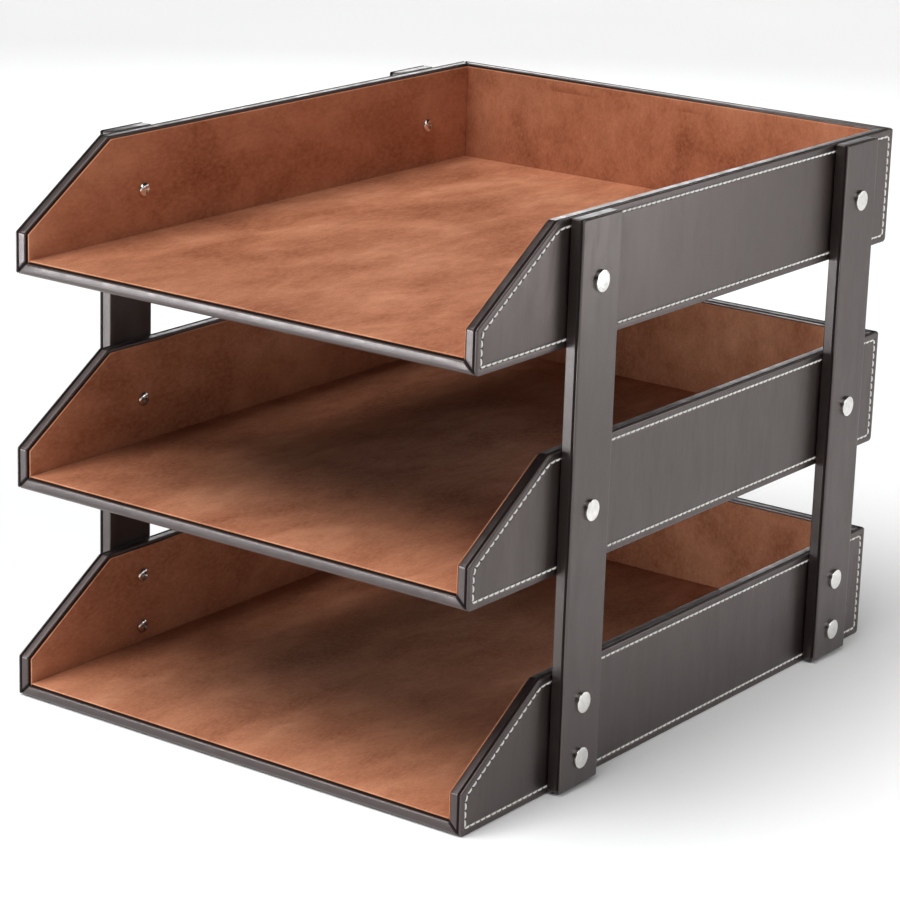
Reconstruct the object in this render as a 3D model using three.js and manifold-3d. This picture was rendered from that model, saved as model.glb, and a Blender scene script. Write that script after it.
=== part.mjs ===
// A three-tier desk tray for A4 paper. Three open-fronted trays are made of flat boards wrapped in
// leather and lined with suede, and they hang between four flat uprights. Each upright is held by
// binding screws: a barrel with a round head goes in from outside, and a cross-head screw closes it
// from inside the tray.
//
// Units are millimetres. X runs across the width, the open fronts face -Y, and Z is up. The origin
// is on the desk, under the middle of the bottom tray.

import * as THREE from 'three';
import { mergeVertices } from 'three/addons/utils/BufferGeometryUtils.js';
import Module from 'manifold-3d';

// ---- Driving dimensions ----

const TRAY_WIDTH = 266;
const TRAY_DEPTH = 352;
const TRAY_HEIGHT = 58;
const TIER_PITCH = 105;
const BOARD_THICKNESS = 6;
const BOARD_EDGE_RADIUS = 1.4;
const NOSE_HEIGHT = 20.5;
const CHAMFER_RUN = 57.5;

const LINING_THICKNESS = 1.2;
const LINING_INSET = 1.3;

const UPRIGHT_WIDTH = 30;
const UPRIGHT_THICKNESS = 7.2;
const UPRIGHT_EDGE_RADIUS = 1.2;
const UPRIGHT_LIFT = 2;
const FRONT_UPRIGHT_Y = -95;
const REAR_UPRIGHT_Y = 133;

const SCREW_HEIGHT = TRAY_HEIGHT / 2;
const SCREW_PAIR_SPACING = 27;
const BARREL_HEAD_RADIUS = 5;
const BARREL_HEAD_THICKNESS = 1.3;
const BARREL_RADIUS = 2.6;
const BARREL_BORE_RADIUS = 2;
const BARREL_LENGTH = 12.5;
const BARREL_BORE_DEPTH = 9.5;
const SCREW_HEAD_RADIUS = 3.6;
const SCREW_HEAD_THICKNESS = 1.8;
const SCREW_SHANK_RADIUS = 1.7;
const SCREW_SHANK_LENGTH = 9;
const CROSS_SLOT_WIDTH = 1;
const CROSS_SLOT_LENGTH = 4;
const CROSS_SLOT_DEPTH = 1;

const FIT_GAP = 0.3;

// ---- Drawing choices ----

const EDGE_SEGMENTS = 2;
const ROUND_SEGMENTS = 14;
const CUTTER_SIZE = 1200;
const CUTTER_OVERRUN = 5;

// ---- Lengths worked out from the driving ones ----

const HALF_WIDTH = TRAY_WIDTH / 2;
const HALF_DEPTH = TRAY_DEPTH / 2;
const LINING_BACK = BOARD_THICKNESS + FIT_GAP;
const LINING_FACE = LINING_BACK + LINING_THICKNESS;
const BAY_EDGE = LINING_FACE + FIT_GAP;
const UPRIGHT_TOP = 2 * TIER_PITCH + TRAY_HEIGHT;
const UPRIGHT_INNER_X = HALF_WIDTH + FIT_GAP;
const UPRIGHT_OUTER_X = UPRIGHT_INNER_X + UPRIGHT_THICKNESS;
const HOLE_RADIUS = BARREL_RADIUS + FIT_GAP;
const BARREL_SEAT_X = UPRIGHT_OUTER_X + FIT_GAP;
const SCREW_SEAT_X = HALF_WIDTH - BAY_EDGE;

const SIDES = [
  { name: 'left', sign: -1 },
  { name: 'right', sign: 1 },
];

const UPRIGHT_ROWS = [
  { name: 'front', y: FRONT_UPRIGHT_Y },
  { name: 'rear', y: REAR_UPRIGHT_Y },
];

const SINGLE_SCREW = [{ name: '', z: SCREW_HEIGHT }];
const SCREW_PAIR = [
  { name: '_lower', z: SCREW_HEIGHT - SCREW_PAIR_SPACING / 2 },
  { name: '_upper', z: SCREW_HEIGHT + SCREW_PAIR_SPACING / 2 },
];

const TIERS = [
  { name: 'bottom', z: 0, screws: SCREW_PAIR },
  { name: 'middle', z: TIER_PITCH, screws: SINGLE_SCREW },
  { name: 'top', z: 2 * TIER_PITCH, screws: SINGLE_SCREW },
];

// ---- Materials ----

function leather() {
  return new THREE.MeshStandardMaterial({ color: 0x4a4240, roughness: 0.48, metalness: 0 });
}

function suede() {
  return new THREE.MeshStandardMaterial({ color: 0x9a5f45, roughness: 0.95, metalness: 0 });
}

function steel() {
  return new THREE.MeshStandardMaterial({ color: 0xcfcdca, roughness: 0.22, metalness: 1 });
}

// ---- Solids: joining and cutting ----

const wasm = await Module();
wasm.setup();

function toSolid(geometry) {
  const bare = geometry.clone();
  bare.deleteAttribute('normal');
  bare.deleteAttribute('uv');
  const merged = mergeVertices(bare);
  return new wasm.Manifold(new wasm.Mesh({
    numProp: 3,
    vertProperties: new Float32Array(merged.attributes.position.array),
    triVerts: new Uint32Array(merged.index.array),
  }));
}

function toGeometry(solid) {
  const mesh = solid.getMesh();
  const geometry = new THREE.BufferGeometry();
  geometry.setAttribute('position', new THREE.BufferAttribute(mesh.vertProperties, 3));
  geometry.setIndex(new THREE.BufferAttribute(mesh.triVerts, 1));
  geometry.computeVertexNormals();
  return geometry;
}

function cut(geometry, cutters) {
  let solid = toSolid(geometry);
  for (const cutter of cutters) {
    solid = solid.subtract(toSolid(cutter));
  }
  return toGeometry(solid);
}

// A large block that holds everything beyond a plane, on the side that the normal points to. It
// stands half a fit gap back, so two boards cut from either side of one plane end up a gap apart.
function beyond(point, normal) {
  const direction = new THREE.Vector3(...normal).normalize();
  const block = new THREE.BoxGeometry(CUTTER_SIZE, CUTTER_SIZE, CUTTER_SIZE);
  block.applyQuaternion(new THREE.Quaternion().setFromUnitVectors(new THREE.Vector3(0, 0, 1), direction));
  const centre = new THREE.Vector3(...point).addScaledVector(direction, (CUTTER_SIZE - FIT_GAP) / 2);
  return block.translate(centre.x, centre.y, centre.z);
}

// A screw hole along X, from innerX to outerX.
function holeAlongX(innerX, outerX, y, z) {
  const length = Math.abs(outerX - innerX) + 2 * CUTTER_OVERRUN;
  const drill = new THREE.CylinderGeometry(HOLE_RADIUS, HOLE_RADIUS, length, ROUND_SEGMENTS);
  drill.rotateZ(Math.PI / 2);
  return drill.translate((innerX + outerX) / 2, y, z);
}

// ---- Flat pieces ----

// A flat panel of the given outline with rounded edges, centred on its own mid-plane. The panel
// lies in XY and its thickness runs along Z.
function panel(outline, thickness, edgeRadius) {
  const shape = new THREE.Shape(outline.map(([x, y]) => new THREE.Vector2(x, y)));
  const depth = thickness - 2 * edgeRadius;
  const geometry = new THREE.ExtrudeGeometry(shape, {
    depth,
    steps: 1,
    bevelEnabled: edgeRadius > 0,
    bevelThickness: edgeRadius,
    bevelSize: edgeRadius,
    bevelOffset: -edgeRadius,
    bevelSegments: EDGE_SEGMENTS,
  });
  return geometry.translate(0, 0, -depth / 2);
}

function rectangle(x0, y0, x1, y1) {
  return [[x0, y0], [x1, y0], [x1, y1], [x0, y1]];
}

// Stands a panel on edge: its x runs along Y and its y runs along Z.
function standAlongY(geometry) {
  const turn = new THREE.Matrix4().makeBasis(
    new THREE.Vector3(0, 1, 0),
    new THREE.Vector3(0, 0, 1),
    new THREE.Vector3(1, 0, 0),
  );
  return geometry.applyMatrix4(turn);
}

// The side wall's outline in Y and Z: a short upright nose in front, then a chamfer up to the rim.
// The inset draws it smaller along the free edges, and the foot and heel are its lower and rear ends.
function wallOutline(inset, foot, heel) {
  const slope = Math.atan2(TRAY_HEIGHT - NOSE_HEIGHT, CHAMFER_RUN);
  const front = -HALF_DEPTH + inset;
  const rim = TRAY_HEIGHT - inset;
  const noseTop = NOSE_HEIGHT - inset * Math.tan((Math.PI / 2 - slope) / 2);
  const chamferTop = -HALF_DEPTH + CHAMFER_RUN + inset * Math.tan(slope / 2);
  return [[front, foot], [heel, foot], [heel, rim], [chamferTop, rim], [front, noseTop]];
}

function floorBoard() {
  const outline = rectangle(-HALF_WIDTH, -HALF_DEPTH, HALF_WIDTH, HALF_DEPTH);
  const slab = panel(outline, BOARD_THICKNESS, BOARD_EDGE_RADIUS);
  slab.translate(0, 0, BOARD_THICKNESS / 2);
  return cut(slab, [
    beyond([HALF_WIDTH, 0, 0], [1, 0, 1]),
    beyond([-HALF_WIDTH, 0, 0], [-1, 0, 1]),
    beyond([0, HALF_DEPTH, 0], [0, 1, 1]),
  ]);
}

function sideBoard(sign, screws) {
  const slab = standAlongY(panel(wallOutline(0, 0, HALF_DEPTH), BOARD_THICKNESS, BOARD_EDGE_RADIUS));
  slab.translate(sign * (HALF_WIDTH - BOARD_THICKNESS / 2), 0, 0);
  const corner = [sign * HALF_WIDTH, HALF_DEPTH, 0];
  const holes = screws.flatMap(({ z }) => UPRIGHT_ROWS.map(({ y }) => (
    holeAlongX(sign * (HALF_WIDTH - BOARD_THICKNESS), sign * HALF_WIDTH, y, z)
  )));
  return cut(slab, [
    beyond(corner, [-sign, 0, -1]),
    beyond(corner, [-sign, 1, 0]),
    ...holes,
  ]);
}

function backBoard() {
  const outline = rectangle(-HALF_WIDTH, 0, HALF_WIDTH, TRAY_HEIGHT);
  const slab = panel(outline, BOARD_THICKNESS, BOARD_EDGE_RADIUS).rotateX(Math.PI / 2);
  slab.translate(0, HALF_DEPTH - BOARD_THICKNESS / 2, 0);
  return cut(slab, [
    beyond([0, HALF_DEPTH, 0], [0, -1, -1]),
    beyond([HALF_WIDTH, HALF_DEPTH, 0], [1, -1, 0]),
    beyond([-HALF_WIDTH, HALF_DEPTH, 0], [-1, -1, 0]),
  ]);
}

// The floor's lining lies between the walls' linings.
function floorLining() {
  const halfWidth = HALF_WIDTH - BAY_EDGE;
  const outline = rectangle(-halfWidth, -HALF_DEPTH + LINING_INSET, halfWidth, HALF_DEPTH - BAY_EDGE);
  const sheet = panel(outline, LINING_THICKNESS, 0);
  return sheet.translate(0, 0, LINING_BACK + LINING_THICKNESS / 2);
}

function sideLining(sign, screws) {
  const outline = wallOutline(LINING_INSET, LINING_BACK, HALF_DEPTH - LINING_BACK);
  const sheet = standAlongY(panel(outline, LINING_THICKNESS, 0));
  sheet.translate(sign * (HALF_WIDTH - LINING_BACK - LINING_THICKNESS / 2), 0, 0);
  return cut(sheet, screws.flatMap(({ z }) => UPRIGHT_ROWS.map(({ y }) => (
    holeAlongX(sign * (HALF_WIDTH - LINING_FACE), sign * HALF_WIDTH, y, z)
  ))));
}

function backLining() {
  const halfWidth = HALF_WIDTH - BAY_EDGE;
  const outline = rectangle(-halfWidth, LINING_BACK, halfWidth, TRAY_HEIGHT - LINING_INSET);
  const sheet = panel(outline, LINING_THICKNESS, 0).rotateX(Math.PI / 2);
  return sheet.translate(0, HALF_DEPTH - LINING_BACK - LINING_THICKNESS / 2, 0);
}

function upright(sign) {
  const outline = rectangle(-UPRIGHT_WIDTH / 2, UPRIGHT_LIFT, UPRIGHT_WIDTH / 2, UPRIGHT_TOP);
  const bar = standAlongY(panel(outline, UPRIGHT_THICKNESS, UPRIGHT_EDGE_RADIUS));
  bar.translate(sign * (UPRIGHT_INNER_X + UPRIGHT_OUTER_X) / 2, 0, 0);
  return cut(bar, TIERS.flatMap((tier) => tier.screws.map(({ z }) => (
    holeAlongX(sign * UPRIGHT_INNER_X, sign * UPRIGHT_OUTER_X, 0, tier.z + z)
  ))));
}

// ---- Binding screws ----

// Turns a profile of [radius, height] points about its axis. The points run from the lower end to
// the upper end, and the axis then lies along X with the upper end pointing outwards on that side.
function turned(profile, sign) {
  const points = profile.map(([radius, height]) => new THREE.Vector2(radius, height));
  return new THREE.LatheGeometry(points, ROUND_SEGMENTS).rotateZ(-sign * Math.PI / 2);
}

// The barrel's head lies on the upright's outer face, and its bore opens towards the tray.
function barrel(sign) {
  const rim = BARREL_HEAD_THICKNESS / 2;
  return cut(turned([
    [0, BARREL_BORE_DEPTH - BARREL_LENGTH],
    [BARREL_BORE_RADIUS, BARREL_BORE_DEPTH - BARREL_LENGTH],
    [BARREL_BORE_RADIUS, -BARREL_LENGTH],
    [BARREL_RADIUS, -BARREL_LENGTH],
    [BARREL_RADIUS, 0],
    [BARREL_HEAD_RADIUS, 0],
    [BARREL_HEAD_RADIUS, rim],
    [BARREL_HEAD_RADIUS - rim, BARREL_HEAD_THICKNESS],
    [0, BARREL_HEAD_THICKNESS],
  ], sign), []);
}

// The screw's head lies on the lining, and its shank points outwards into the barrel.
function screw(sign) {
  const rim = SCREW_HEAD_THICKNESS / 2;
  const body = turned([
    [0, -SCREW_HEAD_THICKNESS],
    [SCREW_HEAD_RADIUS - rim, -SCREW_HEAD_THICKNESS],
    [SCREW_HEAD_RADIUS, -rim],
    [SCREW_HEAD_RADIUS, 0],
    [SCREW_SHANK_RADIUS, 0],
    [SCREW_SHANK_RADIUS, SCREW_SHANK_LENGTH],
    [0, SCREW_SHANK_LENGTH],
  ], sign);
  const slotX = -sign * (SCREW_HEAD_THICKNESS - CROSS_SLOT_DEPTH / 2 + CUTTER_OVERRUN / 2);
  const slotDepth = CROSS_SLOT_DEPTH + CUTTER_OVERRUN;
  return cut(body, [
    new THREE.BoxGeometry(slotDepth, CROSS_SLOT_WIDTH, CROSS_SLOT_LENGTH).translate(slotX, 0, 0),
    new THREE.BoxGeometry(slotDepth, CROSS_SLOT_LENGTH, CROSS_SLOT_WIDTH).translate(slotX, 0, 0),
  ]);
}

// ---- Assembly ----

function named(name, geometry, material) {
  const mesh = new THREE.Mesh(geometry, material);
  mesh.name = name;
  return mesh;
}

function tray(tier) {
  const group = new THREE.Group();
  group.add(named(`${tier.name}_tray_floor_board`, floorBoard(), leather()));
  group.add(named(`${tier.name}_tray_back_board`, backBoard(), leather()));
  group.add(named(`${tier.name}_tray_floor_lining`, floorLining(), suede()));
  group.add(named(`${tier.name}_tray_back_lining`, backLining(), suede()));
  for (const side of SIDES) {
    const prefix = `${tier.name}_tray_${side.name}`;
    group.add(named(`${prefix}_board`, sideBoard(side.sign, tier.screws), leather()));
    group.add(named(`${prefix}_lining`, sideLining(side.sign, tier.screws), suede()));
  }
  group.position.z = tier.z;
  return group;
}

// The binding screws that hold one tray to its four uprights.
function fasteners(tier) {
  const group = new THREE.Group();
  for (const side of SIDES) {
    for (const row of UPRIGHT_ROWS) {
      for (const place of tier.screws) {
        const suffix = `${tier.name}_${row.name}_${side.name}${place.name}`;
        const barrelMesh = named(`barrel_${suffix}`, barrel(side.sign), steel());
        barrelMesh.position.set(side.sign * BARREL_SEAT_X, row.y, place.z);
        const screwMesh = named(`screw_${suffix}`, screw(side.sign), steel());
        screwMesh.position.set(side.sign * SCREW_SEAT_X, row.y, place.z);
        group.add(barrelMesh, screwMesh);
      }
    }
  }
  group.position.z = tier.z;
  return group;
}

function uprights() {
  const group = new THREE.Group();
  for (const side of SIDES) {
    for (const row of UPRIGHT_ROWS) {
      const bar = named(`${row.name}_${side.name}_upright`, upright(side.sign), leather());
      bar.position.y = row.y;
      group.add(bar);
    }
  }
  return group;
}

const deskTray = new THREE.Group();
for (const tier of TIERS) {
  deskTray.add(tray(tier), fasteners(tier));
}
deskTray.add(uprights());

export default deskTray;
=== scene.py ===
"""A three-tier desk tray in stitched leather and suede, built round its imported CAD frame.

Metres, X across the width, the open fronts face -Y, Z up. Every piece but the thread stands for a CAD
node, and its place and size come from the nodes' boxes.
"""

import math
from collections import namedtuple

import bmesh
import bpy
from mathutils import Matrix, Vector
from mathutils.geometry import tessellate_polygon


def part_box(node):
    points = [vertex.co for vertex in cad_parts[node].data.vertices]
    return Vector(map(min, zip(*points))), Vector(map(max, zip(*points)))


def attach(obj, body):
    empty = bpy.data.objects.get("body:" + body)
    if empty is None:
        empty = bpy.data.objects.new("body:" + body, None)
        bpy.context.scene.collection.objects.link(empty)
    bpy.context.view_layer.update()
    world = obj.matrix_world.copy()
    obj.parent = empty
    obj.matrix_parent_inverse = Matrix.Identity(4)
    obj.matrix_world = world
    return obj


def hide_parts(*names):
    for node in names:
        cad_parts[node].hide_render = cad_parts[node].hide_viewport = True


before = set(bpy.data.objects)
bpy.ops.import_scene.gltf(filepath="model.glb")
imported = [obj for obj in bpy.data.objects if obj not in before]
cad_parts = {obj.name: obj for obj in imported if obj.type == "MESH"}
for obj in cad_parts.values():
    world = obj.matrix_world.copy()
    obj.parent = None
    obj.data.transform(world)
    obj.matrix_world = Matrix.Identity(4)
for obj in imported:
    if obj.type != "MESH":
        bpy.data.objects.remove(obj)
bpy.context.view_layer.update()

MM = 0.001

# ---- The camera, at the photograph's viewing angle ----

CAMERA_AZIMUTH = math.radians(35.94)
CAMERA_ELEVATION = math.radians(16.71)
CAMERA_ROLL = math.radians(1.856)
CAMERA_DISTANCE = 1.5791
CAMERA_LENS = 128.57
CAMERA_SENSOR = 36
AIM_HEIGHT = 152 * MM
AIM_RIGHT = -5.51 * MM
AIM_UP = -38.51 * MM


def axes_matrix(x_axis, y_axis, z_axis, place):
    matrix = Matrix((x_axis, y_axis, z_axis)).transposed().to_4x4()
    matrix.translation = place
    return matrix


def make_camera():
    back = Vector((
        math.sin(CAMERA_AZIMUTH) * math.cos(CAMERA_ELEVATION),
        -math.cos(CAMERA_AZIMUTH) * math.cos(CAMERA_ELEVATION),
        math.sin(CAMERA_ELEVATION),
    ))
    right = Vector((math.cos(CAMERA_AZIMUTH), math.sin(CAMERA_AZIMUTH), 0))
    up = back.cross(right)
    aim = Vector((0, 0, AIM_HEIGHT)) + right * AIM_RIGHT + up * AIM_UP
    rolled_right = right * math.cos(CAMERA_ROLL) + up * math.sin(CAMERA_ROLL)
    rolled_up = up * math.cos(CAMERA_ROLL) - right * math.sin(CAMERA_ROLL)
    data = bpy.data.cameras.new("camera")
    data.lens = CAMERA_LENS
    data.sensor_width = CAMERA_SENSOR
    camera = bpy.data.objects.new("camera", data)
    bpy.context.scene.collection.objects.link(camera)
    camera.matrix_world = axes_matrix(rolled_right, rolled_up, back, aim + back * CAMERA_DISTANCE)
    bpy.context.scene.camera = camera


# ---- Sizes read from the frame ----

TIERS = ("bottom", "middle", "top")
SIDES = {"left": -1, "right": 1}
ROWS = ("front", "rear")
SCREW_PLACES = {"bottom": ("_lower", "_upper"), "middle": ("",), "top": ("",)}

SIDE_LOW, SIDE_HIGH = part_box("bottom_tray_right_board")
BACK_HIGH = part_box("bottom_tray_back_board")[1]
LINING_LOW, LINING_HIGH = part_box("bottom_tray_right_lining")
POST_LOW, POST_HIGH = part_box("front_right_upright")
BARREL_LOW, BARREL_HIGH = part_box("barrel_top_front_right")
SCREW_LOW, SCREW_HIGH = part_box("screw_top_front_right")

HALF_WIDTH = SIDE_HIGH.x
BOARD = SIDE_HIGH.x - SIDE_LOW.x
FRONT_Y = SIDE_LOW.y
REAR_Y = BACK_HIGH.y
TRAY_HEIGHT = SIDE_HIGH.z
TIER_Z = {tier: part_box(f"{tier}_tray_right_board")[1].z - TRAY_HEIGHT for tier in TIERS}
LINING_FACE = HALF_WIDTH - LINING_LOW.x
LINING_INSET = TRAY_HEIGHT - LINING_HIGH.z
POST_OUTER = POST_HIGH.x
POST_THICKNESS = POST_HIGH.x - POST_LOW.x

# ---- Sizes the frame doesn't hold ----

NOSE_HEIGHT = 20.5 * MM
CHAMFER_RUN = 57.5 * MM
MITRE_GAP = 0.18 * MM

OUTER_ROUND = 0.8 * MM
INNER_ROUND = 0.7 * MM
FLOOR_OUTER_ROUND = 2.6 * MM
POST_ROUND = 0.8 * MM
LINING_ROUND = 0.5 * MM

WELT_DEPTH = 1.6 * MM
WELT_HALF = 0.7 * MM
WELT_CUT = 1.7 * MM
WELT_OUTER_LIP = 0.03 * MM
WELT_INNER_LIP = 0.05 * MM

STITCH_INSET = 3.7 * MM
STITCH_PITCH = 4.0 * MM
STITCH_LENGTH = 3.3 * MM
STITCH_SLANT = math.radians(3.5)
THREAD_WIDTH = 1.0 * MM
THREAD_HEIGHT = 0.66 * MM
THREAD_STAND = 0.2 * MM
GROOVE_DEPTH = 0.42 * MM
GROOVE_WIDTH = 0.62 * MM
PUCKER_DEPTH = 0.22 * MM
PANEL_STEP = 0.1 * MM

LINING_UNDERCUT = 0.35 * MM
LINING_GLUE_GAP = 0.05 * MM
LINING_FOOT_GAP = 0.1 * MM
HOLE_ROOM = 0.3 * MM

# The rings that frame a flat face lie this far in: from the edge's rounding for the two face margins,
# and from the edge for the others.
FLOOR_FACE_MARGIN = 4 * MM
POST_FACE_MARGIN = 3 * MM
POST_INNER_MARGIN = 4 * MM
BOARD_INNER_MARGIN = BOARD + 2 * MM
LINING_FACE_INSETS = (6 * MM, 2 * MM)
LINING_INNER_MARGIN = 2 * MM

ARC_STEPS = 4
OUTER_ROUND_STEPS = 6
INNER_ROUND_STEPS = 4
FINE_SPACING = STITCH_PITCH / 4
COARSE_SPACING = 12 * MM
TURNED_STEPS = 48
HOLE_STEPS = 24
THREAD_SIDES = 10
SHARP_ANGLE = math.radians(38)
LEAST_RADIUS = 0.22 * MM

# Wear is 1 where the leather is rubbed most and 0 on a plain face; below 0 it is painted shade, -1 at the
# bottom of a crease.
BORDER_WEAR = 0.25
INNER_EDGE_WEAR = 0.6

# ---- Faces shared by all meshes ----


def band(first, second, count):
    """The faces between two closed rings of points, each given by its first point's number."""
    faces = []
    for j in range(count):
        k = (j + 1) % count
        faces.append((first + j, first + k, second + k, second + j))
    return faces


def tube(first, rings, count):
    """The faces of a closed tube: the bands between its rings, and its two ends."""
    faces = []
    for ring in range(rings - 1):
        start = first + ring * count
        faces += band(start, start + count, count)
    end = first + (rings - 1) * count
    faces.append(tuple(range(first + count - 1, first - 1, -1)))
    faces.append(tuple(range(end, end + count)))
    return faces


def closed_mesh(name, vertices, faces, attributes=None):
    """A smooth-shaded mesh whose faces all point out, with its values at each point."""
    mesh = bpy.data.meshes.new(name)
    mesh.from_pydata(vertices, [], faces)
    for key, values in (attributes or {}).items():
        mesh.attributes.new(key, "FLOAT", "POINT").data.foreach_set("value", values)
    edit = bmesh.new()
    edit.from_mesh(mesh)
    bmesh.ops.recalc_face_normals(edit, faces=edit.faces)
    edit.to_mesh(mesh)
    edit.free()
    mesh.shade_smooth()
    mesh.set_sharp_from_angle(angle=SHARP_ANGLE)
    return mesh


def add_piece(name, mesh, material, node=None):
    piece = bpy.data.objects.new(name, mesh)
    bpy.context.scene.collection.objects.link(piece)
    mesh.materials.clear()
    mesh.materials.append(material)
    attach(piece, "root")
    if node:
        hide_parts(node)


# ---- Outlines ----

FREE = "free"
MITRED = "mitred"

# A corner's radius along the board's edge, and along its stitches.
Corner = namedtuple("Corner", "edge stitches")

FRONT_FOOT = Corner(1.5 * MM, 0)
REAR_FOOT = Corner(1.8 * MM, 1 * MM)
REAR_TOP = Corner(0.9 * MM, 0)
CHAMFER_TOP = Corner(2 * MM, 11 * MM)
NOSE_TOP = Corner(1.4 * MM, 3 * MM)
FLOOR_FRONT = Corner(1.3 * MM, 0)
LINING_CORNER = Corner(0.6 * MM, 0.6 * MM)
POST_CORNER = Corner(0.8 * MM, 0.3 * MM)


class Outline:
    """A convex outline drawn anticlockwise. Its edges are free, or mitred against another board."""

    def __init__(self, points, kinds, corners, spacing):
        self.points = [Vector(point) for point in points]
        self.kinds = kinds
        self.corners = corners
        following = self.points[1:] + self.points[:1]
        sides = [after - point for point, after in zip(self.points, following)]
        self.normals = [Vector((-side.y, side.x)).normalized() for side in sides]
        self.steps = [max(2, round(side.length / spacing)) for side in sides]
        self.creases = self.mark_creases()

    def mark_creases(self):
        """For each point of a ring, whether it lies in the crease where a free edge meets a mitred one."""
        marks = []
        for i, steps in enumerate(self.steps):
            before, after = self.kinds[i - 1], self.kinds[i]
            arc = [before != after] * (ARC_STEPS + 1)
            arc[0] = arc[0] and before == MITRED
            arc[-1] = arc[-1] and after == MITRED
            marks += arc + [False] * (steps - 1)
        return marks

    def shifted(self, insets):
        """The corner points once each edge has moved inwards by its own inset."""
        moved = []
        for i, point in enumerate(self.points):
            before, after = self.normals[i - 1], self.normals[i]
            a, b = insets[i - 1], insets[i]
            area = before.x * after.y - before.y * after.x
            moved.append(point + Vector((a * after.y - b * before.y, b * before.x - a * after.x)) / area)
        return moved

    def corner_arc(self, i, point, inset):
        """The points that round one corner, from the edge that comes in to the edge that leaves."""
        before, after = self.normals[i - 1], self.normals[i]
        turn = math.atan2(before.x * after.y - before.y * after.x, before.dot(after))
        corner = self.corners[i]
        blend = min(1, inset / STITCH_INSET)
        radius = max(LEAST_RADIUS, corner.edge + (corner.stitches - corner.edge) * blend)
        start = point - Vector((before.y, -before.x)) * radius * math.tan(turn / 2)
        centre = start + before * radius
        points = []
        for k in range(ARC_STEPS + 1):
            angle = turn * k / ARC_STEPS
            out = Vector((
                before.x * math.cos(angle) - before.y * math.sin(angle),
                before.x * math.sin(angle) + before.y * math.cos(angle),
            ))
            points.append(centre - out * radius)
        return points

    def ring(self, free, mitred):
        """The closed line of points at these insets. Every ring has the same number of points."""
        insets = [free if kind == FREE else mitred for kind in self.kinds]
        arcs = [self.corner_arc(i, point, free) for i, point in enumerate(self.shifted(insets))]
        points = []
        for arc, following, steps in zip(arcs, arcs[1:] + arcs[:1], self.steps):
            points += arc
            points += [arc[-1].lerp(following[0], k / steps) for k in range(1, steps)]
        return points


def side_outline(spacing):
    """A side wall in Y and height, with its upright nose and its chamfer."""
    return Outline(
        [
            (FRONT_Y, 0), (REAR_Y, 0), (REAR_Y, TRAY_HEIGHT),
            (FRONT_Y + CHAMFER_RUN, TRAY_HEIGHT), (FRONT_Y, NOSE_HEIGHT),
        ],
        [MITRED, MITRED, FREE, FREE, FREE],
        [FRONT_FOOT, REAR_FOOT, REAR_TOP, CHAMFER_TOP, NOSE_TOP],
        spacing,
    )


def back_outline(spacing):
    return Outline(
        [(-HALF_WIDTH, 0), (HALF_WIDTH, 0), (HALF_WIDTH, TRAY_HEIGHT), (-HALF_WIDTH, TRAY_HEIGHT)],
        [MITRED, MITRED, FREE, MITRED],
        [REAR_FOOT, REAR_FOOT, REAR_TOP, REAR_TOP],
        spacing,
    )


def floor_outline():
    return Outline(
        [(-HALF_WIDTH, FRONT_Y), (HALF_WIDTH, FRONT_Y), (HALF_WIDTH, REAR_Y), (-HALF_WIDTH, REAR_Y)],
        [FREE, MITRED, MITRED, MITRED],
        [FLOOR_FRONT, FLOOR_FRONT, REAR_FOOT, REAR_FOOT],
        COARSE_SPACING,
    )


def lining_outline(board_outline, insets):
    """The free-edged sheet that lies inside a board's outline, with one inset for each edge."""
    points = board_outline.shifted(insets)
    return Outline(points, [FREE] * len(points), [LINING_CORNER] * len(points), COARSE_SPACING)


def upright_outline(node):
    low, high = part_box(node)
    return Outline(
        [(low.y, low.z), (high.y, low.z), (high.y, high.z), (low.y, high.z)],
        [FREE] * 4,
        [POST_CORNER] * 4,
        COARSE_SPACING,
    )


def circle(centre, radius, steps):
    points = []
    for k in range(steps):
        angle = math.tau * k / steps
        points.append(centre + Vector((math.cos(angle), math.sin(angle))) * radius)
    return points


def line_lengths(points):
    """How far along the closed line each point lies, and the whole length last."""
    lengths = [0.0]
    for point, after in zip(points, points[1:] + points[:1]):
        lengths.append(lengths[-1] + (after - point).length)
    return lengths


def stitch_holes(outline):
    """For each point of a ring, 1 at a stitch hole and 0 in the middle of a stitch."""
    lengths = line_lengths(outline.ring(STITCH_INSET, STITCH_INSET))
    pitch = lengths[-1] / round(lengths[-1] / STITCH_PITCH)
    return [0.5 + 0.5 * math.cos(math.tau * along / pitch) for along in lengths[:-1]]


# ---- Sections, as rings from the middle of the outer face to the inner face ----

# One ring of a plate: how far in it lies along free and mitred edges, how far it lies below the outer
# face, how much deeper it goes at each stitch hole, and how worn the leather is there; below 0, painted
# shade.
Level = namedtuple("Level", "free mitred depth pucker wear", defaults=(0, 0))

# The stitched face's rings, in groove widths inwards from the stitch line.
GROOVE_STATIONS = (4.2, 2.8, 1.9, 1.3, 0.8, 0.4, 0, -0.4, -0.8, -1.3, -1.9)

# The welt's rings: how far in, share of its half height, and wear, below 0 painted shade in the crease.
WELT_STATIONS = (
    (WELT_OUTER_LIP, -1, 0.3),
    (WELT_CUT / 2, -0.5, -0.8),
    (WELT_CUT, 0, -1),
    (WELT_CUT / 2, 0.5, -0.8),
    (WELT_INNER_LIP, 1, 0),
)


def smooth_step(value):
    value = min(1, max(0, value))
    return value * value * (3 - 2 * value)


def stitched_depth(inset):
    """The outer face's depth: the border stands proud, and the thread has pulled a groove in it."""
    away = (inset - STITCH_INSET) / GROOVE_WIDTH
    step = PANEL_STEP * smooth_step(away / 2)
    return step + GROOVE_DEPTH * math.exp(-away * away)


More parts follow.
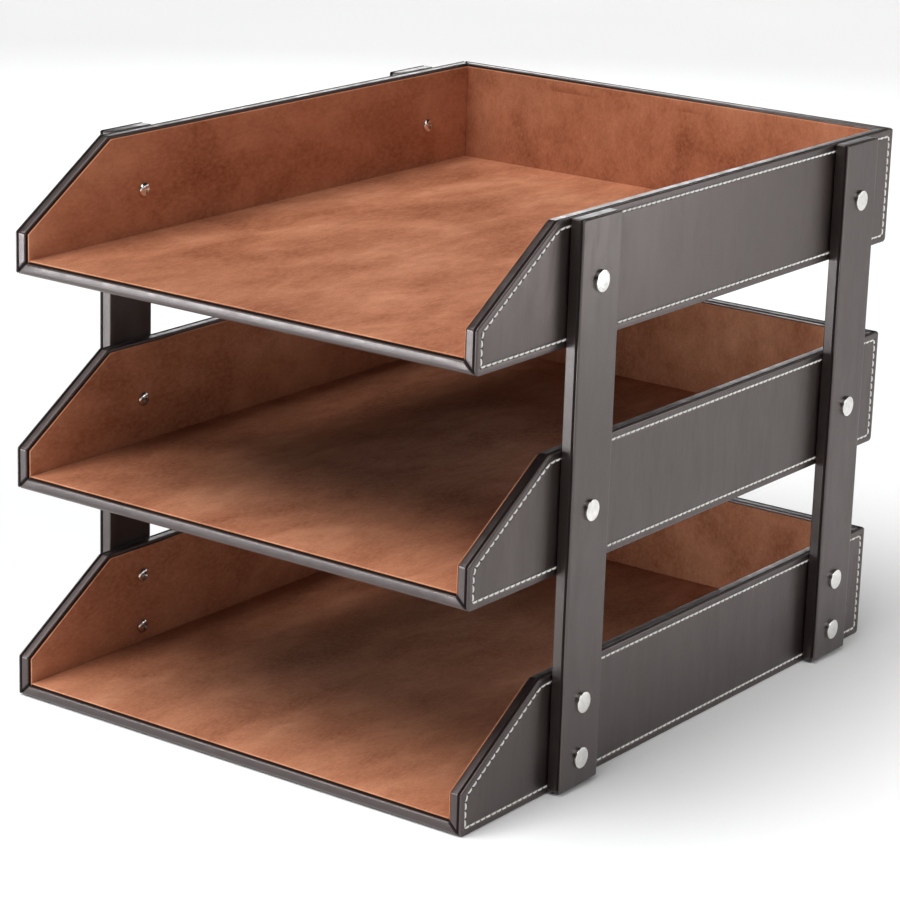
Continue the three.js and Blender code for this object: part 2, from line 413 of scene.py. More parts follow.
def stitched_face():
    """The outer face from its flat middle to its border, with the stitch groove."""
    levels = []
    for station in GROOVE_STATIONS:
        inset = STITCH_INSET + station * GROOVE_WIDTH
        pucker = PUCKER_DEPTH * math.exp(-station * station)
        wear = BORDER_WEAR if station < -1 else 0
        levels.append(Level(inset, inset, stitched_depth(inset), pucker, wear))
    return levels


def plain_face(margin, round_radius):
    """A flat outer face with a flat border, so that the rounded edge shades cleanly."""
    return [Level(inset, inset, 0) for inset in (round_radius + margin, round_radius + margin / 4)]


def round_inset(radius, depth):
    """How far a quarter round of this radius stays in from the edge at this depth."""
    reach = max(0, 1 - depth / radius)
    return radius * (1 - math.sqrt(1 - reach * reach))


def rounded_in(radius, mitred_radius):
    """The quarter round from the outer face to the edge. A mitred edge keeps only its first half."""
    levels = []
    for k in range(OUTER_ROUND_STEPS + 1):
        angle = math.pi / 2 * k / OUTER_ROUND_STEPS
        depth = radius * (1 - math.cos(angle))
        mitred = max(round_inset(mitred_radius, depth), depth + MITRE_GAP)
        levels.append(Level(radius * (1 - math.sin(angle)), mitred, depth, 0, math.sin(2 * angle)))
    return levels


def rounded_out(thickness):
    """The quarter round from the edge to the inner face."""
    levels = []
    for k in range(INNER_ROUND_STEPS + 1):
        angle = math.pi / 2 * k / INNER_ROUND_STEPS
        free = INNER_ROUND * (1 - math.cos(angle))
        depth = thickness - INNER_ROUND * (1 - math.sin(angle))
        levels.append(Level(free, depth + MITRE_GAP, depth, 0, INNER_EDGE_WEAR * math.sin(2 * angle)))
    return levels


def welt():
    """The crease round the edge, where the outer leather's turned hem meets the edge's own leather."""
    levels = []
    for free, share, wear in WELT_STATIONS:
        depth = WELT_DEPTH + WELT_HALF * share
        levels.append(Level(free, depth + MITRE_GAP, depth, 0, wear))
    return levels


def board_levels():
    """A side or back board: a stitched face and a welted edge."""
    inner = Level(BOARD_INNER_MARGIN, BOARD_INNER_MARGIN, BOARD)
    return stitched_face() + rounded_in(OUTER_ROUND, OUTER_ROUND) + welt() + rounded_out(BOARD) + [inner]


def floor_levels():
    """A floor board: its leather is one piece round its front edge, with no welt."""
    inner = Level(BOARD_INNER_MARGIN, BOARD_INNER_MARGIN, BOARD)
    outer = plain_face(FLOOR_FACE_MARGIN, FLOOR_OUTER_ROUND) + rounded_in(FLOOR_OUTER_ROUND, OUTER_ROUND)
    return outer + rounded_out(BOARD) + [inner]


def upright_levels():
    """An upright: a plain face and a welted edge."""
    inner = Level(POST_INNER_MARGIN, POST_INNER_MARGIN, POST_THICKNESS)
    outer = plain_face(POST_FACE_MARGIN, POST_ROUND) + rounded_in(POST_ROUND, POST_ROUND)
    return outer + welt() + rounded_out(POST_THICKNESS) + [inner]


def lining_levels():
    """A suede sheet with a rounded rim over an undercut cut edge, whose dark colour is painted shade."""
    thickness = LINING_FACE - BOARD - LINING_GLUE_GAP
    cut = LINING_UNDERCUT
    face = [Level(inset, inset, 0) for inset in LINING_FACE_INSETS]
    edge = [Level(cut, cut, LINING_ROUND + cut, 0, -1), Level(cut, cut, thickness, 0, -1)]
    inner = Level(LINING_INNER_MARGIN, LINING_INNER_MARGIN, thickness)
    return face + rounded_in(LINING_ROUND, LINING_ROUND) + edge + [inner]


# ---- Plates ----


def plate_side(rings, count):
    """The faces that join a plate's rings, from its outer face round to its inner one."""
    faces = []
    for start in range(0, (rings - 1) * count, count):
        after = start + count
        for j in range(count):
            k = (j + 1) % count
            faces.append((start + j, after + j, after + k, start + k))
    return faces


def cap(points, first, holes, hole_starts):
    """The triangles that fill a ring except for its holes."""
    index = list(range(first, first + len(points)))
    for start, hole in zip(hole_starts, holes):
        index += range(start, start + len(hole))
    loops = [[point.to_3d() for point in loop] for loop in [points] + holes]
    return [tuple(index[k] for k in triangle) for triangle in tessellate_polygon(loops)]


def plate(name, outline, levels, holes, place, pucker=None):
    """A closed plate with round holes. The pucker says how near each ring point is to a stitch hole."""
    rings = [outline.ring(level.free, level.mitred) for level in levels]
    count = len(rings[0])
    pucker = pucker or [0] * count
    vertices, wear = [], []
    for level, points in zip(levels, rings):
        for point, hole, crease_shade in zip(points, pucker, outline.creases):
            vertices.append(place(point.x, point.y, level.depth + level.pucker * hole))
            # Points in the crease where a free edge meets a mitred one, below the rounding, get -1: painted
            # shade.
            wear.append(-1 if crease_shade and level.depth > OUTER_ROUND else level.wear)
    hole_starts = []
    for level in (levels[0], levels[-1]):
        starts = []
        for hole in holes:
            starts.append(len(vertices))
            vertices += [place(point.x, point.y, level.depth) for point in hole]
            wear += [0] * len(hole)
        hole_starts.append(starts)
    outer_starts, inner_starts = hole_starts
    faces = plate_side(len(rings), count)
    faces += cap(rings[0], 0, holes, outer_starts)
    faces += [triangle[::-1] for triangle in cap(rings[-1], (len(rings) - 1) * count, holes, inner_starts)]
    for outer, inner, hole in zip(outer_starts, inner_starts, holes):
        faces += band(outer, inner, len(hole))
    return closed_mesh(name, vertices, faces, {"wear": wear})


# ---- Where a plate lies: its outline's two coordinates, and depth below its outer face ----


def side_place(sign, base, outer=HALF_WIDTH):
    return lambda u, v, depth: (sign * (outer - depth), u, base + v)


def back_place(base):
    return lambda u, v, depth: (u, REAR_Y - depth, base + v)


def floor_place(base):
    return lambda u, v, depth: (u, v, base + depth)


def lining_place(place):
    """The same place for a lining, whose face looks into the tray and whose depth runs to the board."""
    return lambda u, v, depth: place(u, v, LINING_FACE - depth)


# ---- Screw holes ----

BARREL_RADIUS = (BARREL_HIGH.z - BARREL_LOW.z) / 2
TUBE_SHARE_OF_HEAD = 0.52
TUBE_RADIUS = BARREL_RADIUS * TUBE_SHARE_OF_HEAD


def node_middle(node):
    low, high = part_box(node)
    return (low + high) / 2


def screw_names(tier, side, rows=ROWS):
    return [f"{tier}_{row}_{side}{place}" for row in rows for place in SCREW_PLACES[tier]]


def screw_hole(name, base):
    """One screw's hole, as a circle in Y and height above this base."""
    middle = node_middle(f"barrel_{name}")
    return circle(Vector((middle.y, middle.z - base)), TUBE_RADIUS + HOLE_ROOM, HOLE_STEPS)


def wall_holes(tier, side):
    return [screw_hole(name, TIER_Z[tier]) for name in screw_names(tier, side)]


def upright_holes(row, side):
    return [screw_hole(name, 0) for tier in TIERS for name in screw_names(tier, side, (row,))]


# ---- Trays ----


def make_boards(tier, material):
    base = TIER_Z[tier]
    levels = board_levels()
    for side, sign in SIDES.items():
        outline = side_outline(FINE_SPACING)
        node = f"{tier}_tray_{side}_board"
        holes = wall_holes(tier, side)
        mesh = plate(node, outline, levels, holes, side_place(sign, base), stitch_holes(outline))
        add_piece(f"{tier}_{side}_leather_wall", mesh, material, node)
    outline = back_outline(FINE_SPACING)
    node = f"{tier}_tray_back_board"
    mesh = plate(node, outline, levels, [], back_place(base), stitch_holes(outline))
    add_piece(f"{tier}_back_leather_wall", mesh, material, node)
    node = f"{tier}_tray_floor_board"
    mesh = plate(node, floor_outline(), floor_levels(), [], floor_place(base))
    add_piece(f"{tier}_leather_floor", mesh, material, node)


def make_linings(tier, material):
    base = TIER_Z[tier]
    levels = lining_levels()
    foot = BOARD + LINING_FOOT_GAP
    for side, sign in SIDES.items():
        insets = [foot, foot, LINING_INSET, LINING_INSET, LINING_INSET]
        outline = lining_outline(side_outline(COARSE_SPACING), insets)
        node = f"{tier}_tray_{side}_lining"
        mesh = plate(node, outline, levels, wall_holes(tier, side), lining_place(side_place(sign, base)))
        add_piece(f"{tier}_{side}_suede", mesh, material, node)
    insets = [foot, LINING_FACE, LINING_INSET, LINING_FACE]
    outline = lining_outline(back_outline(COARSE_SPACING), insets)
    node = f"{tier}_tray_back_lining"
    mesh = plate(node, outline, levels, [], lining_place(back_place(base)))
    add_piece(f"{tier}_back_suede", mesh, material, node)
    insets = [LINING_INSET, LINING_FACE, LINING_FACE, LINING_FACE]
    outline = lining_outline(floor_outline(), insets)
    node = f"{tier}_tray_floor_lining"
    mesh = plate(node, outline, levels, [], lining_place(floor_place(base)))
    add_piece(f"{tier}_floor_suede", mesh, material, node)


# ---- Uprights ----


def make_uprights(material):
    for side, sign in SIDES.items():
        for row in ROWS:
            node = f"{row}_{side}_upright"
            place = side_place(sign, 0, POST_OUTER)
            mesh = plate(node, upright_outline(node), upright_levels(), upright_holes(row, side), place)
            add_piece(f"{row}_{side}_leather_post", mesh, material, node)


# ---- Thread ----

# Along one stitch, as shares of its half length.
STITCH_STATIONS = (-1, -0.93, -0.78, -0.5, -0.17, 0.17, 0.5, 0.78, 0.93, 1)
STITCH_END_SINK = 0.8
STITCH_END_SECTION = 0.45


def point_along(points, lengths, along):
    """The place on a closed line this far along it."""
    along %= lengths[-1]
    k = max(i for i, length in enumerate(lengths[:-1]) if length <= along)
    share = (along - lengths[k]) / (lengths[k + 1] - lengths[k])
    return points[k].lerp(points[(k + 1) % len(points)], share)


def thread_profile():
    """Along one stitch: share of its half length, depth of its middle, and share of its full section.

    The thread stays level along its middle, and dips and narrows sharply towards both ends.
    """
    sunk = stitched_depth(STITCH_INSET) + PUCKER_DEPTH * STITCH_END_SINK
    top = THREAD_HEIGHT / 2 - THREAD_STAND
    stations = []
    for share in STITCH_STATIONS:
        depth = top + (sunk - top) * abs(share) ** 4
        fullness = math.sqrt(1 - 0.98 * abs(share) ** 5)
        stations.append((share, depth, STITCH_END_SECTION + (1 - STITCH_END_SECTION) * fullness))
    return stations


def stitching_mesh(name, outline, place):
    """All the stitches of one panel, each a short flattened thread that dives into its two holes."""
    points = outline.ring(STITCH_INSET, STITCH_INSET)
    lengths = line_lengths(points)
    count = round(lengths[-1] / STITCH_PITCH)
    pitch = lengths[-1] / count
    profile = thread_profile()
    vertices, along_values, round_values, faces = [], [], [], []
    for stitch in range(count):
        middle = (stitch + 0.5) * pitch
        head = point_along(points, lengths, middle - STITCH_LENGTH / 2)
        tail = point_along(points, lengths, middle + STITCH_LENGTH / 2)
        centre = (head + tail) / 2
        along = (tail - head) / 2
        along.rotate(Matrix.Rotation(STITCH_SLANT, 2))
        across = Vector((-along.y, along.x)).normalized()
        faces += tube(len(vertices), len(profile), THREAD_SIDES)
        for share, depth, section in profile:
            for k in range(THREAD_SIDES):
                angle = math.tau * k / THREAD_SIDES
                flat = centre + along * share + across * math.cos(angle) * THREAD_WIDTH / 2 * section
                height = math.sin(angle) * THREAD_HEIGHT / 2 * section
                vertices.append(place(flat.x, flat.y, depth - height))
                along_values.append((stitch + share) * STITCH_LENGTH / 2 / MM)
                round_values.append(angle)
    return closed_mesh(name, vertices, faces, {"along": along_values, "round": round_values})


def make_stitching(tier, material):
    base = TIER_Z[tier]
    for side, sign in SIDES.items():
        name = f"{tier}_{side}_stitching"
        mesh = stitching_mesh(name, side_outline(FINE_SPACING), side_place(sign, base))
        add_piece(name, mesh, material)
    name = f"{tier}_back_stitching"
    mesh = stitching_mesh(name, back_outline(FINE_SPACING), back_place(base))
    add_piece(name, mesh, material)


# ---- Binding screws ----

BARREL_WALL = 0.6 * MM
BORE_DEPTH = 9.5 * MM
BARREL_SEAT_ROUND = 0.15 * MM
BARREL_RIM = 0.22 * MM
BARREL_DOME = 0.2 * MM
DOME_STATIONS = (0.8, 0.6, 0.4, 0.2)

SHANK_RADIUS = 1.7 * MM
SHANK_CHAMFER = 0.4 * MM
SCREW_SEAT_CHAMFER = 0.1 * MM
SCREW_EDGE_SHARE = 0.32
PAN_STEPS = 8
PAN_FLATNESS = 0.75

CROSS_LENGTH = 4.2 * MM
CROSS_WIDTH = 0.95 * MM
CROSS_DEPTH = 1.15 * MM
CROSS_BOTTOM_SPREAD = 0.55
CROSS_TOP_SPREAD = 1.1
CUTTER_OVERRUN = 0.5 * MM

# Each screw was tightened until its cross stood at some angle of its own, in radians.
FIRST_CROSS_ANGLE = 0.6
CROSS_ANGLE_STEP = 1.7


def turned_mesh(name, profile):
    """A profile of (radius, height) points turned about Z. It starts and ends on the axis."""
    steps = TURNED_STEPS
    vertices = [(0, 0, profile[0][1])]
    for radius, height in profile[1:-1]:
        vertices += [(point.x, point.y, height) for point in circle(Vector((0, 0)), radius, steps)]
    vertices.append((0, 0, profile[-1][1]))
    last = len(vertices) - 1
    faces = []
    for start in range(1, last - steps, steps):
        faces += band(start, start + steps, steps)
    for k in range(steps):
        after = (k + 1) % steps
        faces.append((0, 1 + after, 1 + k))
        faces.append((last - steps + k, last - steps + after, last))
    return closed_mesh(name, vertices, faces)


def arc_profile(centre_radius, centre_height, radius, first, last, steps):
    """Points of a rounded edge in a turned profile. Angles are in degrees, 0 outwards and 90 up."""
    points = []
    for k in range(steps + 1):
        angle = math.radians(first + (last - first) * k / steps)
        points.append((centre_radius + radius * math.cos(angle), centre_height + radius * math.sin(angle)))
    return points


def barrel_mesh():
    """The barrel with its seat at height 0 and its head upwards."""
    top = BARREL_HIGH.x - POST_OUTER
    length = BARREL_HIGH.x - BARREL_LOW.x - top
    bore = TUBE_RADIUS - BARREL_WALL
    seat_edge = BARREL_RADIUS - BARREL_SEAT_ROUND
    flat = BARREL_RADIUS - BARREL_RIM
    profile = [(0, BORE_DEPTH - length), (bore, BORE_DEPTH - length)]
    profile += [(bore, -length), (TUBE_RADIUS, -length), (TUBE_RADIUS, 0), (seat_edge, 0)]
    profile += arc_profile(seat_edge, BARREL_SEAT_ROUND, BARREL_SEAT_ROUND, -60, 0, 3)
    profile += arc_profile(flat, top - BARREL_DOME - BARREL_RIM, BARREL_RIM, 0, 80, 5)
    profile += [(flat * share, top - BARREL_DOME * share * share) for share in DOME_STATIONS]
    profile.append((0, top))
    return turned_mesh("barrel", profile)


def cross_ring(spread, height):
    """The cross's outline at one height. It narrows less than it shortens."""
    arm = CROSS_LENGTH / 2 * spread
    half = CROSS_WIDTH / 2 * (0.5 + spread / 2)
    points = []
    for turn in range(4):
        along = Vector((math.cos(turn * math.pi / 2), math.sin(turn * math.pi / 2), 0))
        across = Vector((-along.y, along.x, 0))
        for out, aside in ((half, -half), (arm, -half), (arm, half)):
            points.append(along * out + across * aside + Vector((0, 0, height)))
    return points


def cut_cross(body, head_height):
    """The body's mesh with the tapered cross cut into its head."""
    vertices = cross_ring(CROSS_BOTTOM_SPREAD, head_height - CROSS_DEPTH)
    count = len(vertices)
    vertices += cross_ring(CROSS_TOP_SPREAD, head_height + CUTTER_OVERRUN)
    cross = bpy.data.objects.new("cross", closed_mesh("cross", vertices, tube(0, 2, count)))
    bpy.context.scene.collection.objects.link(cross)
    cut = body.modifiers.new("cross", "BOOLEAN")
    cut.operation = "DIFFERENCE"
    cut.solver = "EXACT"
    cut.object = cross
    baked = bpy.data.meshes.new_from_object(body.evaluated_get(bpy.context.evaluated_depsgraph_get()))
    baked.set_sharp_from_angle(angle=SHARP_ANGLE)
    bpy.data.objects.remove(cross)
    return baked


def screw_mesh():
    """The screw with its seat at height 0, its shank downwards and a cross in its pan head."""
    head_radius = (SCREW_HIGH.z - SCREW_LOW.z) / 2
    head_height = HALF_WIDTH - LINING_FACE - SCREW_LOW.x
    shank = SCREW_HIGH.x - SCREW_LOW.x - head_height
    edge = head_height * SCREW_EDGE_SHARE
    profile = [(0, -shank), (SHANK_RADIUS - SHANK_CHAMFER, -shank)]
    profile += [(SHANK_RADIUS, -shank + SHANK_CHAMFER), (SHANK_RADIUS, 0)]
    profile += [(head_radius - SCREW_SEAT_CHAMFER, 0), (head_radius, SCREW_SEAT_CHAMFER), (head_radius, edge)]
    for k in range(1, PAN_STEPS):
        angle = math.pi / 2 * k / PAN_STEPS
        height = edge + (head_height - edge) * math.sin(angle)
        profile.append((head_radius * math.cos(angle) ** PAN_FLATNESS, height))
    profile.append((0, head_height))
    body = bpy.data.objects.new("screw", turned_mesh("screw", profile))
    bpy.context.scene.collection.objects.link(body)
    mesh = cut_cross(body, head_height)
    bpy.data.objects.remove(body)
    return mesh


def placed_copy(mesh, y_axis, z_axis, seat):
    copy = mesh.copy()
    copy.transform(axes_matrix(y_axis.cross(z_axis), y_axis, z_axis, seat))
    return copy


def make_fasteners(material):
    barrel = barrel_mesh()
    screw = screw_mesh()
    for side, sign in SIDES.items():
        outwards = Vector((sign, 0, 0))
        for level, tier in enumerate(TIERS):
            for index, name in enumerate(screw_names(tier, side)):
                middle = node_middle(f"barrel_{name}")
                turn = FIRST_CROSS_ANGLE + CROSS_ANGLE_STEP * index + sign + level
                y_axis = Vector((0, math.cos(turn), math.sin(turn)))
                seat = Vector((sign * POST_OUTER, middle.y, middle.z))
                mesh = placed_copy(barrel, y_axis, outwards, seat)
                add_piece(f"binding_barrel_{name}", mesh, material, f"barrel_{name}")
                seat.x = sign * (HALF_WIDTH - LINING_FACE)
                mesh = placed_copy(screw, y_axis, -outwards, seat)
                add_piece(f"cross_head_screw_{name}", mesh, material, f"screw_{name}")


# ---- Shader nodes ----


def new_material(name):
    material = bpy.data.materials.new(name)
    material.use_nodes = True
    return material, material.node_tree


def add_node(tree, kind, inputs=None, **settings):
    """A shader node with its settings, and its inputs given as values or as sockets to link."""
    made = tree.nodes.new(kind)
    for key, value in settings.items():
        setattr(made, key, value)
    for key, value in (inputs or {}).items():
        if isinstance(value, bpy.types.NodeSocket):
            tree.links.new(value, made.inputs[key])
        else:
            made.inputs[key].default_value = value
    return made


def object_coordinates(tree, stretch=(1, 1, 1)):
    coordinates = add_node(tree, "ShaderNodeTexCoord").outputs["Object"]
    return add_node(tree, "ShaderNodeMapping", {"Vector": coordinates, "Scale": stretch}).outputs["Vector"]


def noise(tree, coordinates, scale, detail=2, roughness=0.5, distortion=0):
    """Noise with about this many features in a metre."""
    inputs = {"Vector": coordinates, "Scale": scale, "Detail": detail}
    inputs |= {"Roughness": roughness, "Distortion": distortion}
    return add_node(tree, "ShaderNodeTexNoise", inputs).outputs["Fac"]


def smooth_cells(tree, coordinates, scale, smoothness):
    inputs = {"Vector": coordinates, "Scale": scale, "Smoothness": smoothness}
    return add_node(tree, "ShaderNodeTexVoronoi", inputs, feature="SMOOTH_F1").outputs["Distance"]


def ramp(tree, factor, stops):
    """A colour ramp with (place, colour) stops."""
    made = add_node(tree, "ShaderNodeValToRGB", {"Fac": factor})
    elements = made.color_ramp.elements
    while len(elements) < len(stops):
        elements.new(0.5)
    for element, (place, colour) in zip(elements, stops):
        element.position = place
        element.color = (*colour, 1)
    return made.outputs["Color"]


def mix(tree, factor, first, second):
    """Mixes two colours. Each is a socket or a colour."""
    made = add_node(tree, "ShaderNodeMix", {0: factor}, data_type="RGBA")
    for socket, colour in ((made.inputs[6], first), (made.inputs[7], second)):
        if isinstance(colour, bpy.types.NodeSocket):
            tree.links.new(colour, socket)
        else:
            socket.default_value = (*colour, 1)
    return made.outputs[2]


def map_range(tree, value, low, high, new_low, new_high):
    """Maps low to high onto the new range, and stays inside it. Each bound is a number or a socket."""
    inputs = {"Value": value, "From Min": low, "From Max": high, "To Min": new_low, "To Max": new_high}
    return add_node(tree, "ShaderNodeMapRange", inputs, clamp=True).outputs["Result"]


def math_node(tree, operation, *values):
    return add_node(tree, "ShaderNodeMath", dict(enumerate(values)), operation=operation).outputs[0]


def bump(tree, height, distance, strength, normal=None):
    inputs = {"Height": height, "Distance": distance, "Strength": strength}
    if normal:
        inputs["Normal"] = normal
    return add_node(tree, "ShaderNodeBump", inputs).outputs["Normal"]


def point_value(tree, name):
    node = add_node(tree, "ShaderNodeAttribute", attribute_name=name, attribute_type="GEOMETRY")
    return node.outputs["Fac"]


def finish_shader(tree, values, links):
    """Sets the shader's plain values and links its patterned ones."""
    shader = tree.nodes["Principled BSDF"]
    for key, value in values.items():
        shader.inputs[key].default_value = value
    for key, socket in links.items():
        tree.links.new(socket, shader.inputs[key])


# ---- Materials ----

LEATHER_DARK = (0.007, 0.0045, 0.004)
LEATHER_MIDDLE = (0.014, 0.0095, 0.0085)
LEATHER_WORN = (0.07, 0.057, 0.052)
LEATHER_CREASE_SHADE = (0.003, 0.002, 0.002)
BOARD_TINT = (1, 0.82, 0.80, 1)
BOARD_GLOSS = 0.54
POST_TINT = (1, 0.855, 0.82, 1)
POST_GLOSS = 0.57
SUEDE_DEEP = (0.26, 0.078, 0.034)
SUEDE_MIDDLE = (0.49, 0.190, 0.100)
SUEDE_LIGHT = (0.68, 0.310, 0.175)
SUEDE_CUT_SHADE = (0.020, 0.010, 0.007)
SHEEN_TINT = (1.0, 0.72, 0.55, 1)
THREAD_LIGHT = (0.92, 0.91, 0.88)
THREAD_SHADE = (0.74, 0.71, 0.66)
THREAD_TWIST = 6.0
STEEL_HAZE = (0.68, 0.665, 0.645)
STEEL_COLOUR = (0.84, 0.825, 0.80)


def leather_material(name, tint, gloss_level):
    """Smooth, close-grained dark leather with a soft broad gloss, a little worn on its edges, and with shade
    painted near-black into its creases.
    """
    material, tree = new_material(name)
    even = object_coordinates(tree)
    upright = object_coordinates(tree, (1, 1, 0.22))
    clouds = noise(tree, even, scale=34, detail=3, roughness=0.55)
    streaks = noise(tree, upright, scale=130, detail=3, roughness=0.6, distortion=0.4)
    cells = smooth_cells(tree, even, scale=1150, smoothness=0.6)
    pores = noise(tree, even, scale=3200, roughness=0.6)
    wear = point_value(tree, "wear")
    base = ramp(tree, clouds, [(0.3, LEATHER_DARK), (0.7, LEATHER_MIDDLE)])
    speckled = mix(tree, map_range(tree, pores, 0.35, 0.75, 0, 0.3), base, LEATHER_DARK)
    worn = mix(tree, map_range(tree, wear, 0.2, 1, 0, 0.55), speckled, LEATHER_WORN)
    # Painted shade: where the value falls below 0, in the creases, the leather turns near-black.
    crease_shade = mix(tree, map_range(tree, wear, -1, 0, 1, 0), worn, LEATHER_CREASE_SHADE)
    gloss = map_range(tree, streaks, 0.3, 0.7, 0.28, 0.43)
    dulled = map_range(tree, wear, -1, 0, 1, gloss)
    height = bump(tree, clouds, 0.5 * MM, 0.6)
    height = bump(tree, streaks, 0.1 * MM, 0.8, height)
    height = bump(tree, cells, 0.035 * MM, 0.7, height)
    height = bump(tree, pores, 0.012 * MM, 0.6, height)
    finish_shader(
        tree,
        {"IOR": 1.75, "Specular IOR Level": gloss_level, "Specular Tint": tint},
        {"Base Color": crease_shade, "Roughness": dulled, "Normal": height},
    )
    return material


def suede_material():
    """Brushed suede: clouds of turned nap, short hairs, and a soft sheen."""
    material, tree = new_material("suede")
    drawn = object_coordinates(tree, (1, 0.45, 0.75))
    clouds = noise(tree, drawn, scale=30, detail=4, roughness=0.55, distortion=0.3)
    patches = noise(tree, drawn, scale=110, detail=3, roughness=0.6, distortion=0.5)
    brushed = noise(tree, object_coordinates(tree, (1, 0.3, 0.6)), scale=900, roughness=0.6)
    hairs = noise(tree, object_coordinates(tree), scale=3000, roughness=0.7)
    wear = point_value(tree, "wear")
    base = ramp(tree, clouds, [(0.28, SUEDE_DEEP), (0.5, SUEDE_MIDDLE), (0.76, SUEDE_LIGHT)])
    patched = mix(tree, map_range(tree, patches, 0.35, 0.7, 0, 0.45), base, SUEDE_DEEP)
    lifted = mix(tree, map_range(tree, brushed, 0.35, 0.7, 0, 0.35), patched, SUEDE_LIGHT)
    haired = mix(tree, map_range(tree, hairs, 0.4, 0.7, 0, 0.35), lifted, SUEDE_DEEP)
    rubbed = mix(tree, map_range(tree, wear, 0, 1, 0, 0.2), haired, SUEDE_LIGHT)
    # Painted shade: the lining's undercut cut edge turns near-black, for the shadow line under its rim.
    cut_edge_shaded = mix(tree, map_range(tree, wear, -1, 0, 1, 0), rubbed, SUEDE_CUT_SHADE)
    height = bump(tree, patches, 0.25 * MM, 0.5)
    height = bump(tree, brushed, 0.06 * MM, 0.7, height)
    height = bump(tree, hairs, 0.05 * MM, 0.8, height)
    roughness = map_range(tree, patches, 0.3, 0.7, 0.82, 0.98)
    finish_shader(
        tree,
        {"Specular IOR Level": 0.12, "Sheen Weight": 0.06, "Sheen Roughness": 0.45, "Sheen Tint": SHEEN_TINT},
        {"Base Color": cut_edge_shaded, "Roughness": roughness, "Normal": height},
    )
    return material


def thread_material():
    """Off-white waxed thread, twisted from two plies, with shade painted into the valleys between them."""
    material, tree = new_material("thread")
    even = object_coordinates(tree)
    lead = math_node(tree, "MULTIPLY", point_value(tree, "along"), THREAD_TWIST)
    twist = math_node(tree, "ADD", lead, point_value(tree, "round"))
    plies = math_node(tree, "SINE", twist)
    dirt = noise(tree, even, scale=300, detail=3, roughness=0.6)
    fibres = noise(tree, even, scale=5200, roughness=0.6)
    base = ramp(tree, dirt, [(0.3, THREAD_SHADE), (0.62, THREAD_LIGHT)])
    # Painted shade: the valleys between the two plies are darkened.
    shaded = mix(tree, map_range(tree, plies, -1, 0, 0.3, 0), base, THREAD_SHADE)
    height = bump(tree, plies, 0.05 * MM, 0.6)
    height = bump(tree, fibres, 0.02 * MM, 0.6, height)
    finish_shader(
        tree,
        {"Specular IOR Level": 0.35, "Sheen Weight": 0.15},
        {"Base Color": shaded, "Roughness": map_range(tree, fibres, 0.3, 0.7, 0.55, 0.75), "Normal": height},
    )
    return material


def steel_material():
    """Bright nickelled steel with fine polishing marks and a little handling haze."""
    material, tree = new_material("steel")
    haze = noise(tree, object_coordinates(tree), scale=420, detail=3, roughness=0.6)
    marks = noise(tree, object_coordinates(tree, (1, 0.12, 1)), scale=5200, roughness=0.6)
    base = ramp(tree, haze, [(0.3, STEEL_HAZE), (0.65, STEEL_COLOUR)])
    height = bump(tree, marks, 0.006 * MM, 0.5)
    height = bump(tree, haze, 0.03 * MM, 0.3, height)
    finish_shader(
        tree,
        {"Metallic": 1.0},
        {"Base Color": base, "Roughness": map_range(tree, haze, 0.3, 0.7, 0.10, 0.22), "Normal": height},
    )
    return material


# ---- The studio ----

FLOOR_RADIUS = 5.5
COVE_RADIUS = 1.0
COVE_HEIGHT = 1.8
COVE_STEPS = 8
FLOOR_COLOUR = (0.98, 0.98, 0.98)
FLOOR_SHADE = tuple(0.98 * value for value in FLOOR_COLOUR)
WORLD_STRENGTH = 0.02
OVERHEAD_SPREAD = math.radians(50)


def floor_material():
    material, tree = new_material("studio_floor")
    tone = noise(tree, object_coordinates(tree), scale=3)
    colour = ramp(tree, tone, [(0.3, FLOOR_COLOUR), (0.7, FLOOR_SHADE)])
    finish_shader(tree, {"Roughness": 0.9, "Specular IOR Level": 0.1}, {"Base Color": colour})
    return material


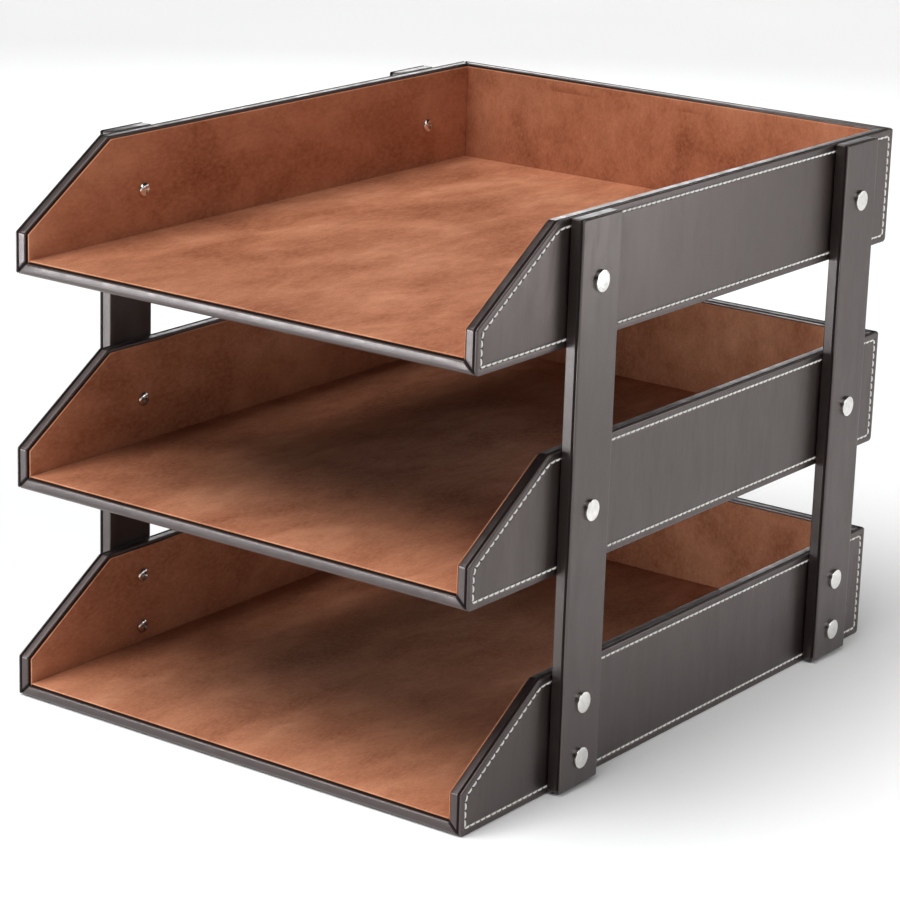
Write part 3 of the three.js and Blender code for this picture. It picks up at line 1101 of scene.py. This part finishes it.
def make_floor():
    """A round pale floor that curves up into a low wall, so that no view meets an edge."""
    profile = [(FLOOR_RADIUS / 2, 0)]
    for k in range(COVE_STEPS + 1):
        angle = math.pi / 2 * k / COVE_STEPS
        profile.append((FLOOR_RADIUS + COVE_RADIUS * math.sin(angle), COVE_RADIUS * (1 - math.cos(angle))))
    profile.append((FLOOR_RADIUS + COVE_RADIUS, COVE_HEIGHT))
    vertices = [(0, 0, 0)]
    faces = [(0, 1 + k, 1 + (k + 1) % TURNED_STEPS) for k in range(TURNED_STEPS)]
    for radius, height in profile:
        vertices += [(point.x, point.y, height) for point in circle(Vector((0, 0)), radius, TURNED_STEPS)]
    for start in range(1, len(vertices) - TURNED_STEPS, TURNED_STEPS):
        faces += band(start + TURNED_STEPS, start, TURNED_STEPS)
    mesh = bpy.data.meshes.new("studio_floor")
    mesh.from_pydata(vertices, [], faces)
    mesh.shade_smooth()
    mesh.materials.append(floor_material())
    floor = bpy.data.objects.new("studio_floor", mesh)
    bpy.context.scene.collection.objects.link(floor)


def add_light(name, kind, place, power):
    """A light at this place, aimed at the middle of the tray."""
    data = bpy.data.lights.new(name, kind)
    data.energy = power
    light = bpy.data.objects.new(name, data)
    bpy.context.scene.collection.objects.link(light)
    light.location = place
    direction = Vector((0, 0, AIM_HEIGHT)) - Vector(place)
    light.rotation_euler = direction.to_track_quat("-Z", "Y").to_euler()
    return light


def soft_box(name, place, width, height, power, colour=(1, 1, 1)):
    light = add_light(name, "AREA", place, power)
    light.data.color = colour
    light.data.shape = "RECTANGLE"
    light.data.size = width
    light.data.size_y = height
    light.visible_camera = False


def make_lights():
    overhead = add_light("overhead", "SUN", place=(-0.65, -1.2, 3), power=3.0)
    overhead.data.angle = OVERHEAD_SPREAD
    soft_box(
        "front_softbox", place=(-0.5, -0.95, 0.13), width=0.6, height=0.16, power=6.5,
        colour=(0.86, 0.96, 1.0),
    )
    soft_box("right_softbox", place=(0.42, 0.22, 0.22), width=0.2, height=0.2, power=0.28)
    soft_box("high_softbox", place=(0.9, -0.35, 1.0), width=0.7, height=0.7, power=2.8)
    soft_box(
        "rear_softbox", place=(-0.95, 1.3, 0.65), width=0.6, height=0.3, power=3,
        colour=(0.97, 0.99, 1.0),
    )


def make_world():
    world = bpy.data.worlds.new("studio")
    bpy.context.scene.world = world
    world.use_nodes = True
    background = world.node_tree.nodes["Background"]
    background.inputs["Color"].default_value = (1, 1, 1, 1)
    background.inputs["Strength"].default_value = WORLD_STRENGTH
    bpy.context.scene.view_settings.view_transform = "Standard"


# ---- Assembly ----


def build():
    leather = leather_material("leather", BOARD_TINT, BOARD_GLOSS)
    post_leather = leather_material("post_leather", POST_TINT, POST_GLOSS)
    suede = suede_material()
    thread = thread_material()
    steel = steel_material()
    for tier in TIERS:
        make_boards(tier, leather)
        make_linings(tier, suede)
        make_stitching(tier, thread)
    make_uprights(post_leather)
    make_fasteners(steel)


make_camera()
make_world()
make_floor()
make_lights()
build()
